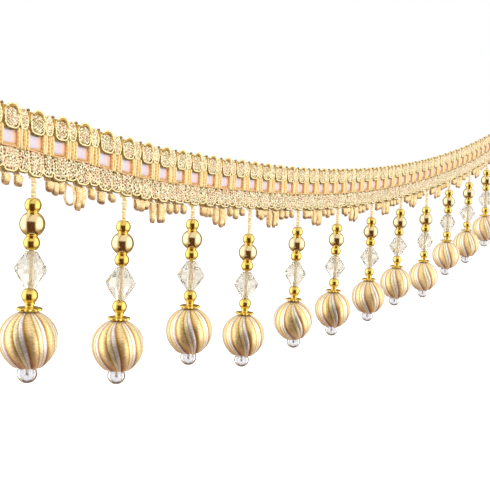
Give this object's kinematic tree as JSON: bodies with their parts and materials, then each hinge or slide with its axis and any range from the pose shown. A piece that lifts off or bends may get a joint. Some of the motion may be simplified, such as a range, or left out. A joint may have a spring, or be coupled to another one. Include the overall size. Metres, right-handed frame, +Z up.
{
  "type": "beaded drop fringe",
  "caption": "Length of curtain trimming: a gimp heading laced with satin ribbon, a fringe of ribbon loops, and hanging drops of gold beads, faceted crystal and thread-wound balls.",
  "frame": {"origin": "on the top edge of the heading, half way along the length, in the middle of its thickness", "axes": "+X along the length, to the right seen from the face; +Y from the face to the back; +Z up"},
  "size_m": [0.5521, 0.02, 0.125],
  "materials": {
    "gimp_yarn": "matt cotton and rayon gimp yarn, cream and gold-brown",
    "satin_ribbon": "glossy satin ribbon, peach with a pale sheen",
    "loop_yarn": "ribbed apricot and tan loop ribbon, cream twisted cord",
    "gold_plating": "mirror-bright gold plating on plastic beads",
    "clear_crystal": "clear faceted crystal or acrylic",
    "wound_silk": "gold satin and silver-white threads wound over a ball"
  },
  "bodies": {
    "root": {"gimp_heading": "gimp_yarn", "satin_ribbon": "satin_ribbon", "loop_fringe": "loop_yarn", "drop_01_gold_beads": "gold_plating", "drop_01_crystal": "clear_crystal", "drop_01_cap": "gold_plating", "drop_01_ball": "wound_silk", "drop_02_gold_beads": "gold_plating", "drop_02_crystal": "clear_crystal", "drop_02_cap": "gold_plating", "drop_02_ball": "wound_silk", "drop_03_gold_beads": "gold_plating", "drop_03_crystal": "clear_crystal", "drop_03_cap": "gold_plating", "drop_03_ball": "wound_silk", "drop_04_gold_beads": "gold_plating", "drop_04_crystal": "clear_crystal", "drop_04_cap": "gold_plating", "drop_04_ball": "wound_silk", "drop_05_gold_beads": "gold_plating", "drop_05_crystal": "clear_crystal", "drop_05_cap": "gold_plating", "drop_05_ball": "wound_silk", "drop_06_gold_beads": "gold_plating", "drop_06_crystal": "clear_crystal", "drop_06_cap": "gold_plating", "drop_06_ball": "wound_silk", "drop_07_gold_beads": "gold_plating", "drop_07_crystal": "clear_crystal", "drop_07_cap": "gold_plating", "drop_07_ball": "wound_silk", "drop_08_gold_beads": "gold_plating", "drop_08_crystal": "clear_crystal", "drop_08_cap": "gold_plating", "drop_08_ball": "wound_silk", "drop_09_gold_beads": "gold_plating", "drop_09_crystal": "clear_crystal", "drop_09_cap": "gold_plating", "drop_09_ball": "wound_silk", "drop_10_gold_beads": "gold_plating", "drop_10_crystal": "clear_crystal", "drop_10_cap": "gold_plating", "drop_10_ball": "wound_silk", "drop_11_gold_beads": "gold_plating", "drop_11_crystal": "clear_crystal", "drop_11_cap": "gold_plating", "drop_11_ball": "wound_silk", "drop_12_gold_beads": "gold_plating", "drop_12_crystal": "clear_crystal", "drop_12_cap": "gold_plating", "drop_12_ball": "wound_silk"}
  },
  "joints": []
}
